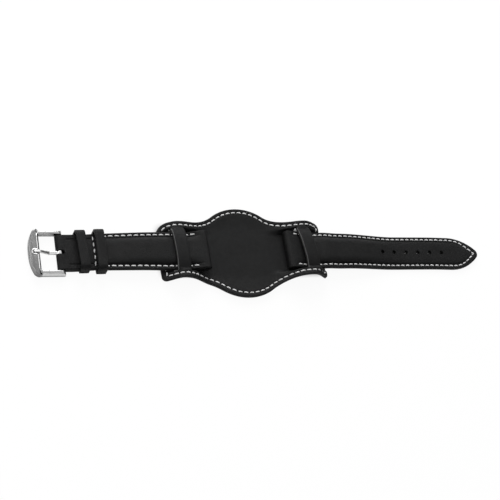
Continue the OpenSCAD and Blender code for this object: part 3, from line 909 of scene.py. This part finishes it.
def short_thread():
    rows = short_main_rows(short_top_z, short_first_hole, 0.8)
    length = cross_row_a - short_first_hole
    start = short_lug_x + lug_flap_len + 0.6 - short_first_hole
    end = flap_end - short_first_hole
    parts = []
    for far in (-1, 1):
        line = strap_seam(rows, -1, far, short_top_z)
        parts.append(stitch_row(line, short_pitch, 0, length, thread_stand))
        line = strap_seam(rows, -1, far, level(short_z, 0))
        parts.append(stitch_row(line, short_pitch, start, end, under_stand))
    half = short_half(cross_row_a)
    count = 5
    across = [(-cross_row_a, y, short_top_z(cross_row_a, half - abs(y)))
              for y in steps(half - 1.2, 1.2 - half, 40)]
    pitch = line_lengths(across)[-1] / count
    parts.append(stitch_row(across, pitch, 0, pitch * count, thread_stand))
    return join_parts("short_strap_thread", parts)


def long_thread():
    rows = long_main_rows(long_top_z, long_first_hole, 0.8)
    under_start = lug_flap_len + 0.6 - long_row_start
    parts = []
    for height, stand, start in ((long_top_z, thread_stand, 0),
                                 (level(long_z, 0), under_stand, under_start)):
        far = strap_seam(rows, 1, 1, height)
        near = strap_seam(rows, 1, -1, height)
        line = far + list(reversed(near[:-1]))
        total = line_lengths(line)[-1]
        pitch = total / round(total / long_pitch)
        parts.append(stitch_row(line, pitch, start, total - start, stand))
    return join_parts("long_strap_thread", parts)


def pad_thread():
    ring = pad_outline(pad_inset)
    parts = []
    for rise, stand in ((2 * pad_layer_t, 0.02), (0, -0.3)):
        line = [(x, y, pad_z(x, y) + rise) for x, y in ring + ring[:1]]
        total = line_lengths(line)[-1]
        pitch = total / round(total / pad_pitch)
        parts.append(stitch_row(line, pitch, 0, total, stand))
    return join_parts("pad_thread", parts)


def bend_tail(obj):
    """Pulls the worn tail's tip a little to the near side."""
    for vertex in obj.data.vertices:
        vertex.co.y -= tail_bend * smooth((vertex.co.x / MM - tip_from + 14) / 28) * MM


# Keepers

def round_loop(w, low, high, low_r, high_r):
    """A rectangle with round corners, as points from the middle of its floor."""
    centres = ((w / 2 - low_r, low + low_r, low_r, -pi / 2),
               (w / 2 - high_r, high - high_r, high_r, 0))
    right = []
    for y, z, r, q0 in centres:
        right += [(y + r * cos(q), z + r * sin(q)) for q in steps(q0, q0 + pi / 2, 8)]
    floor = [(y, low) for y in steps(0, w / 2 - low_r, 8)[:-1]]
    wall = [(w / 2, z) for z in steps(low + low_r, high - high_r, 5)[1:-1]]
    roof = [(y, high) for y in steps(w / 2 - high_r, 0, 8)[1:]]
    right = floor + right[:9] + wall + right[9:] + roof
    return right + [(-y, z) for y, z in reversed(right[1:-1])]


def keeper(name, a, floor_z, inner_w, under_t, skew=0.0):
    """A leather band: sections with round edges, set round a loop, sewn in a little askew."""
    inner = round_loop(inner_w, 0, keeper_h, 0.4, 1.4)
    outer = round_loop(inner_w + 2 * keeper_t, -under_t, keeper_h + keeper_t, max(under_t, 0.5),
                       1.4 + keeper_t)
    edge_r = 0.24
    points, faces = [], []
    tilt = atan(short_slope)
    for (y0, z0), (y1, z1) in zip(inner, outer):
        t = hypot(y1 - y0, z1 - z0)
        section = []
        for cx, cn, q0 in ((1, 1, 0), (-1, 1, pi / 2), (-1, 0, pi), (1, 0, 3 * pi / 2)):
            r = min(edge_r, t * 0.45)
            for q in steps(q0, q0 + pi / 2, 4):
                x = cx * (keeper_len / 2 - r) + r * cos(q)
                n = (t - r if cn else r) + r * sin(q)
                section.append((x, n / t))
        top = [mix(section[4][0], section[5][0], k / 10) for k in range(1, 10)]
        low = [mix(section[14][0], section[15][0], k / 10) for k in range(1, 10)]
        pressed = [0.07 / t * exp(-((abs(x) - keeper_len / 2 + 0.75) / 0.16) ** 2) for x in top]
        section = (section[:5] + [(x, 1.0 - n) for x, n in zip(top, pressed)] + section[5:15]
                   + [(x, 0.0) for x in low] + section[15:])
        for x, n in section:
            y, z = mix(y0, y1, n), mix(z0, z1, n)
            points.append((-a + x * cos(tilt) - z * sin(tilt) - y * skew, y,
                           floor_z + x * sin(tilt) + z * cos(tilt)))
    cols = len(points) // len(inner)
    rows = len(inner)
    for i in range(rows):
        for j in range(cols):
            m, n = (i + 1) % rows, (j + 1) % cols
            faces.append((i * cols + j, i * cols + n, m * cols + n, m * cols + j))
    return make_object(name, points, faces, 45)


# Bright edges of the buckle, and the bar's spring

def rounded_path(corners, r):
    """A line through corner points (a, y, z), with each inner corner turned at radius r."""
    path = [Vector(corners[0])]
    for before, corner, after in zip(corners, corners[1:], corners[2:]):
        p, c, q = Vector(before), Vector(corner), Vector(after)
        start = c + (p - c).normalized() * min(r, (p - c).length / 2)
        end = c + (q - c).normalized() * min(r, (q - c).length / 2)
        path += [start.lerp(c, t).lerp(c.lerp(end, t), t) for t in steps(0, 1, 6)]
    return path + [Vector(corners[-1])]


def tube(path, r, sides=14):
    """Points and faces of a round bar along a path, with closed ends."""
    points = []
    for k, p in enumerate(path):
        along = (path[min(k + 1, len(path) - 1)] - path[max(k - 1, 0)]).normalized()
        across = along.cross(Vector((0, 0, 1))).normalized()
        up = across.cross(along)
        share = 0.3 if k in (0, len(path) - 1) else 1.0
        for j in range(sides):
            q = 2 * pi * j / sides
            points.append(tuple(p + (across * cos(q) + up * sin(q)) * r * share))
    return points, rod_faces(len(path), sides)


def buckle_edges():
    """The bright rounded edge of the front bar, round the window and the tongue's seat."""
    front_in = bar_a + frame_reach - front_len
    arm_in = end_half + gap
    rim_a = front_in + 1.1
    seat_end = front_in + front_len - seat_inset + 0.1
    seat_y = tongue_w / 2 + gap + 0.1
    rim_z = front_h - 0.18
    rim_r = 0.33
    half_rim = [(-front_in + 1.0, arm_in + 0.3, front_h - 0.75),
                (-rim_a, arm_in + 0.3, front_h - 0.5), (-rim_a, arm_in - 1.2, rim_z),
                (-rim_a, seat_y, rim_z), (-seat_end, seat_y, rim_z)]
    other_half = [(x, -y, z) for x, y, z in reversed(half_rim)]
    path = rounded_path(half_rim + other_half, 1.0)
    return make_object("buckle_bright_edges", *tube(path, rim_r), 70)


def coil_half(far):
    """Half of the spring inside the bar's tube, from the middle to one tip's stem."""
    turns, around, sides = 6, 16, 8
    count = turns * around
    points = []
    for k in range(count + 1):
        turn = 2 * pi * k / around
        for j in range(sides):
            q = 2 * pi * j / sides
            r = coil_r + wire_r * cos(q)
            y = far * (coil_len * k / count + wire_r * sin(q))
            points.append((-bar_a + r * cos(turn), y, bar_z + far * r * sin(turn)))
    name = "spring_coil_far" if far > 0 else "spring_coil_near"
    return make_object(name, points, rod_faces(count + 1, sides), 60)


def build_spring():
    """Makes the two halves of the coil, one towards each tip."""
    for far, joint in ((1, "far_tip_slide"), (-1, "near_tip_slide")):
        half = dress(coil_half(far), "buckle", "bar_steel", bar_steel, "spring_bar_spring")
        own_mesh(half)


# Materials

def new_material(name):
    material = bpy.data.materials.new(name)
    material.use_nodes = True
    return material, material.node_tree, material.node_tree.nodes["Principled BSDF"]


def set_inputs(tree, node, **inputs):
    """Gives a node's inputs, by name, a value or another node's output."""
    for key, value in inputs.items():
        socket = node.inputs[key.replace("_", " ")]
        if isinstance(value, bpy.types.NodeSocket):
            tree.links.new(value, socket)
        else:
            socket.default_value = value
    return node


def add(tree, kind, **inputs):
    return set_inputs(tree, tree.nodes.new(kind), **inputs)


def grey(level_255, warm=0.0):
    """A linear colour from a display grey; warm tints it."""
    def linear(c):
        c = c / 255
        return c / 12.92 if c <= 0.04045 else ((c + 0.055) / 1.055) ** 2.4
    return (linear(level_255 * (1 + warm)), linear(level_255), linear(level_255 * (1 - warm)), 1)


def object_place(tree, stretch=(1, 1, 1)):
    place = add(tree, "ShaderNodeTexCoord").outputs["Object"]
    return add(tree, "ShaderNodeMapping", Vector=place, Scale=stretch).outputs["Vector"]


def axes_of(tree, kind):
    """The X, Y and Z outputs of one kind of texture coordinates."""
    place = add(tree, "ShaderNodeTexCoord").outputs[kind]
    return add(tree, "ShaderNodeSeparateXYZ", Vector=place).outputs


def noise_on(tree, scale, detail=3.0, rough=0.5, stretch=(1, 1, 1), distortion=0.0):
    return add(tree, "ShaderNodeTexNoise", Vector=object_place(tree, stretch), Scale=scale,
               Detail=detail, Roughness=rough, Distortion=distortion).outputs["Fac"]


def cells_on(tree, scale):
    """Leather pores: distance to the borders of small cells, bent by noise."""
    place = object_place(tree)
    bend = add(tree, "ShaderNodeTexNoise", Vector=place, Scale=scale * 0.6, Detail=2.0)
    mixed = tree.nodes.new("ShaderNodeVectorMath")
    mixed.operation = "MULTIPLY_ADD"
    mixed.inputs[1].default_value = (0.6 / scale,) * 3
    tree.links.new(bend.outputs["Color"], mixed.inputs[0])
    tree.links.new(place, mixed.inputs[2])
    node = add(tree, "ShaderNodeTexVoronoi", Vector=mixed.outputs["Vector"], Scale=scale)
    node.feature = "DISTANCE_TO_EDGE"
    return node.outputs["Distance"]


def ranged(tree, value, low, high, out_low, out_high):
    return add(tree, "ShaderNodeMapRange", Value=value, From_Min=low, From_Max=high,
               To_Min=out_low, To_Max=out_high).outputs["Result"]


def colours(tree, value, *stops):
    """A colour ramp: each stop is a place and a colour."""
    ramp = add(tree, "ShaderNodeValToRGB", Fac=value)
    elements = ramp.color_ramp.elements
    for k in (0, -1):
        elements[k].position, elements[k].color = stops[k]
    for position, colour in stops[1:-1]:
        elements.new(position).color = colour
    return ramp.outputs["Color"]


def blended(tree, share, colour, other):
    """The colour, turning to the other as share goes from 0 to 1."""
    node = tree.nodes.new("ShaderNodeMix")
    node.data_type = "RGBA"
    return set_inputs(tree, node, Factor=share, A=colour, B=other).outputs["Result"]


def calculated(tree, operation, *values):
    """A maths node on outputs and numbers."""
    node = tree.nodes.new("ShaderNodeMath")
    node.operation = operation
    for value, socket in zip(values, node.inputs):
        if isinstance(value, float):
            socket.default_value = value
        else:
            tree.links.new(value, socket)
    return node.outputs[0]


def product(tree, first, *values):
    for value in values:
        first = calculated(tree, "MULTIPLY", first, value)
    return first


def distance_from(tree, value, middle):
    return calculated(tree, "ABSOLUTE", calculated(tree, "SUBTRACT", value, middle))


def bumped(tree, shader, *layers):
    """Chains bumps: each layer is a height, its depth in millimetres and its strength."""
    before = None
    for height, depth, strength in layers:
        bump = add(tree, "ShaderNodeBump", Height=height, Strength=strength, Distance=depth * MM)
        if before:
            set_inputs(tree, bump, Normal=before)
        before = bump.outputs["Normal"]
    set_inputs(tree, shader, Normal=before)


def leather(name, dark, light, cell, depth, rough, specular, crease=0.0, warm=0.0):
    """Finished leather: pores, soft creases, uneven dye and lighter rubbed edges."""
    material, tree, shader = new_material(name)
    dye = noise_on(tree, 90, 5, 0.6)
    colour = colours(tree, dye, (0.3, grey(dark, warm)), (0.7, grey(light, warm)))
    worn = tree.nodes.new("ShaderNodeNewGeometry").outputs["Pointiness"]
    wear = ranged(tree, worn, 0.53, 0.66, 0.0, 0.35)
    rubbed = blended(tree, wear, colour, grey(light * 1.7, warm))
    pores = ranged(tree, cells_on(tree, 1000 / cell), 0.0, 0.16, 0.0, 1.0)
    fine = noise_on(tree, 5000, 2)
    folds = noise_on(tree, 260, 4, 0.6, (3.0, 0.7, 1.0), 0.6)
    waves = noise_on(tree, 110, 3, 0.5)
    bumped(tree, shader, (waves, 0.5, 0.35), (folds, 0.22, crease), (pores, depth, 0.7),
           (fine, 0.02, 0.6))
    gloss = ranged(tree, noise_on(tree, 420, 3, 0.6), 0.3, 0.7, rough - 0.07, rough + 0.07)
    set_inputs(tree, shader, Base_Color=rubbed, Roughness=gloss, Specular_IOR_Level=specular)
    return material


def thread_material():
    material, tree, shader = new_material("sewing_thread")
    shade = noise_on(tree, 900, 3, 0.6)
    colour = colours(tree, shade, (0.3, grey(196)), (0.7, grey(228)))
    bumped(tree, shader, (noise_on(tree, 6000, 2, 0.5, (0.4, 1.0, 1.0)), 0.04, 0.6))
    rough = ranged(tree, shade, 0.3, 0.7, 0.6, 0.75)
    set_inputs(tree, shader, Base_Color=colour, Roughness=rough, Sheen_Weight=0.15)
    return material


def steel(name, low, high, rough, brushed, stretch, anisotropy=0.0, bright=None):
    """Steel with fine lines left by its polishing; bright is a grey for the buckle's arms."""
    material, tree, shader = new_material(name)
    lines = noise_on(tree, 900, 4, 0.7, stretch)
    smear = noise_on(tree, 160, 3, 0.5)
    colour = colours(tree, lines, (0.3, grey(low)), (0.7, grey(high)))
    if bright:
        start = -(bar_a + frame_reach - front_len) * MM
        x = axes_of(tree, "Object")["X"]
        arms = ranged(tree, x, start - 1.0 * MM, start + 0.5 * MM, 0.0, 1.0)
        colour = blended(tree, arms, colour, grey(bright))
    blotch = ranged(tree, smear, 0.3, 0.7, rough - 0.05, rough + 0.06)
    if bright:
        blotch = product(tree, blotch, ranged(tree, arms, 0.0, 1.0, 1.0, 0.5))
    bumped(tree, shader, (lines, 0.02, brushed), (smear, 0.05, 0.1))
    set_inputs(tree, shader, Base_Color=colour, Metallic=1.0, Roughness=blotch, Anisotropic=anisotropy)
    return material


def inside_band(tree, distance, half, soft):
    """1 at distances up to half, falling to 0 beyond over a soft edge."""
    return ranged(tree, distance, half - soft, half, 1.0, 0.0)


def stage_material(name, share):
    """White, and a share of it glows to the camera; under the pad's wings the colour is painted dark
    grey as a painted shadow, and the glow stops there.
    """
    material, tree, shader = new_material(name)
    axes = axes_of(tree, "Object")
    along = distance_from(tree, distance_from(tree, axes["X"], 0.0), bridge_x * MM)
    across = distance_from(tree, axes["Y"], 2.5 * MM)
    # Where the floor gets its painted shadow: under the pad's wings, with soft edges.
    painted_shadow = product(tree, inside_band(tree, along, 11.5 * MM, 5.5 * MM),
                      inside_band(tree, across, 15.5 * MM, 5.0 * MM))
    colour = colours(tree, noise_on(tree, 40, 2), (0.3, grey(250)), (0.7, grey(252)))
    # Painted shadow: the floor's colour turns dark grey under the wings.
    colour = blended(tree, painted_shadow, colour, grey(40))
    set_inputs(tree, shader, Base_Color=colour, Roughness=0.9, Specular_IOR_Level=0.0)
    ray = tree.nodes.new("ShaderNodeLightPath")
    bare = ranged(tree, painted_shadow, 0.0, 1.0, 1.0, 0.0)
    part = product(tree, bare, ray.outputs["Is Camera Ray"], share)
    glow = tree.nodes.new("ShaderNodeEmission")
    blend = tree.nodes.new("ShaderNodeMixShader")
    tree.links.new(part, blend.inputs[0])
    tree.links.new(shader.outputs[0], blend.inputs[1])
    tree.links.new(glow.outputs[0], blend.inputs[2])
    tree.links.new(blend.outputs[0], tree.nodes["Material Output"].inputs["Surface"])
    return material


# The object

pad_leather = leather("pad_leather", 16, 21, 0.55, 0.05, 0.6, 0.16, 0.12, -0.02)
strap_leather_look = leather("strap_leather", 14, 19, 0.8, 0.1, 0.55, 0.16, 0.4, -0.02)
lining_leather = leather("lining_leather", 34, 42, 0.5, 0.06, 0.62, 0.3, 0.2, 0.02)
# A lighter leather for the painted highlight on the bridges' cut edges.
painted_highlight_edge = leather("painted_highlight_edge", 84, 104, 0.4, 0.04, 0.45, 0.4)
core_look = leather("painted_edge", 18, 24, 0.4, 0.05, 0.6, 0.3)
thread = thread_material()
brushed_steel = steel("brushed_steel", 122, 142, 0.24, 0.4, (1.0, 0.03, 1.0), 0.4, 192)
polished_steel = steel("polished_steel", 212, 228, 0.11, 0.12, (0.05, 1.0, 1.0))
bar_steel = steel("bar_steel", 188, 204, 0.22, 0.2, (1.0, 0.1, 1.0))


def build_pad():
    net = pad_net()
    over = pad_plate("pad_top", net, pad_layer_t + 0.01, 2 * pad_layer_t, 0.15, 0.45, 0, 0.22)
    dress(over, "pad", "pad_leather", pad_leather, "pad_top_leather")
    # The cut edges that face the buckle get the lighter leather as a painted highlight.
    over.data.materials.append(painted_highlight_edge)
    for face in bridge_highlight_faces(over):
        face.material_index = 1
    under = pad_plate("pad_backing", net, 0, pad_layer_t - 0.01, 0.35, 0.15, 0.2, 0)
    dress(under, "pad", "lining_leather", lining_leather, "pad_lining")
    dress(pad_thread(), "pad", "pad_leather", thread)


def build_straps():
    dress(short_leather(), "short_strap", "strap_leather", strap_leather_look,
          "short_strap_top_leather")
    tail = dress(long_leather(), "long_strap", "strap_leather", strap_leather_look,
                 "long_strap_top_leather")
    filler, lining = strap_layers("short", -1, short_lug_x, short_main_rows, short_top_z,
                                  short_inner_z, short_z, short_pitch, short_sewn)
    dress(filler, "short_strap", "filler_board", core_look, "short_strap_filler")
    dress(lining, "short_strap", "lining_leather", lining_leather, "short_strap_lining")
    filler, lining = strap_layers("long", 1, long_lug_x, long_main_rows, long_top_z,
                                  long_inner_z, long_z, long_seam_pitch(), long_sewn)
    for obj in (filler, lining):
        cut(obj, *buckle_hole_cutters(0))
    dress(filler, "long_strap", "filler_board", core_look, "long_strap_filler")
    dress(lining, "long_strap", "lining_leather", lining_leather, "long_strap_lining")
    dress(short_thread(), "short_strap", "strap_leather", thread)
    tail_thread = dress(long_thread(), "long_strap", "strap_leather", thread)
    for obj in (tail, filler, lining, tail_thread):
        bend_tail(obj)
    a = bar_a - fixed_keeper_at
    dress(keeper("fixed_keeper_band", a, short_z(a), end_w + gap, keeper_end_t, keeper_skew),
          "short_strap", "strap_leather", strap_leather_look, "fixed_keeper")
    a = bar_a - free_keeper_at
    dress(keeper("free_keeper_band", a, short_z(a) - gap, end_w + 4 * gap, keeper_t),
          "free_keeper", "strap_leather", strap_leather_look, "free_keeper")


def finish_metal():
    """The buckle and its spring bar are the source's own solids with a fine finish."""
    looks = {"buckle_frame": brushed_steel, "buckle_tongue": polished_steel,
             "spring_bar_tube": bar_steel, "spring_bar_tip_far": bar_steel,
             "spring_bar_tip_near": bar_steel}
    for node, look in looks.items():
        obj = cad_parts[node]
        obj.data.materials.clear()
        obj.data.materials.append(look)
    build_spring()
    dress(buckle_edges(), "buckle", "buckle_steel", polished_steel)
    fine = 0.13
    for node in ("buckle_frame", "buckle_tongue"):
        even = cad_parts[node].modifiers.new("even_mesh", "REMESH")
        even.mode = "VOXEL"
        even.voxel_size = fine * MM
        even.use_smooth_shade = True
        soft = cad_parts[node].modifiers.new("soft_edges", "SMOOTH")
        soft.factor = 0.5
        soft.iterations = 12


# Stage, lights and camera

def build_stage():
    reach = 3000
    corners = ((-reach, -reach), (reach, -reach), (reach, reach), (-reach, reach))
    floor = make_object("floor", [(x, y, -0.1) for x, y in corners], [(0, 1, 2, 3)])
    floor.data.materials.append(stage_material("white_floor", 0.93))


def add_lamp(name, place, target, size, power):
    lamp = bpy.data.lights.new(name, "AREA")
    lamp.shape = "RECTANGLE"
    lamp.size, lamp.size_y = size
    lamp.energy = power
    obj = add_object(name, lamp)
    obj.location = place
    toward = Vector(target) - Vector(place)
    obj.rotation_euler = toward.to_track_quat("-Z", "Y").to_euler()


def build_world():
    """A soft tent: bright overhead, dark near the horizon, so that metal shows its forms."""
    world = bpy.data.worlds.new("studio")
    bpy.context.scene.world = world
    world.use_nodes = True
    tree = world.node_tree
    tent = colours(tree, axes_of(tree, "Generated")["Z"], (0.0, grey(20)), (0.35, grey(70)),
                   (0.6, grey(160)), (1.0, grey(225)))
    set_inputs(tree, tree.nodes["Background"], Color=tent, Strength=1.35)


def build_lights():
    build_world()
    add_lamp("far", (-0.08, 0.97, 0.72), (0, 0, 0), (0.7, 0.7), 10.5)
    add_lamp("backdrop", (0.3, 1.0, 0.3), (0, 0, 0), (1.5, 0.5), 3.6)
    add_lamp("left", (-0.55, 0.15, 0.3), (0, 0, 0), (0.3, 0.4), 0.7)


def build_camera():
    """The photo's camera, from the fit of the strap's sizes to the picture."""
    focal_px, photo_px, sensor = 1279.1, 500, 36
    az, el, roll = radians(45.54), radians(56.96), radians(40.48)
    distance = 643.8 * MM
    target = Vector((5.41, 2.55, 0)) * MM
    ahead = Vector((sin(az) * cos(el), cos(az) * cos(el), -sin(el)))
    right = Vector((cos(az), -sin(az), 0))
    up = right.cross(ahead)
    turned_right = right * cos(roll) + up * sin(roll)
    turned_up = up * cos(roll) - right * sin(roll)
    turn = Matrix((turned_right, turned_up, -ahead)).transposed()
    camera = add_object("camera", bpy.data.cameras.new("camera"))
    camera.matrix_world = Matrix.Translation(target - ahead * distance) @ turn.to_4x4()
    camera.data.sensor_width = sensor
    camera.data.lens = sensor * focal_px / photo_px
    camera.data.clip_start = 0.01
    bpy.context.scene.camera = camera


build_pad()
build_straps()
finish_metal()
build_stage()
build_lights()
build_camera()
bpy.context.scene.view_settings.view_transform = "Standard"
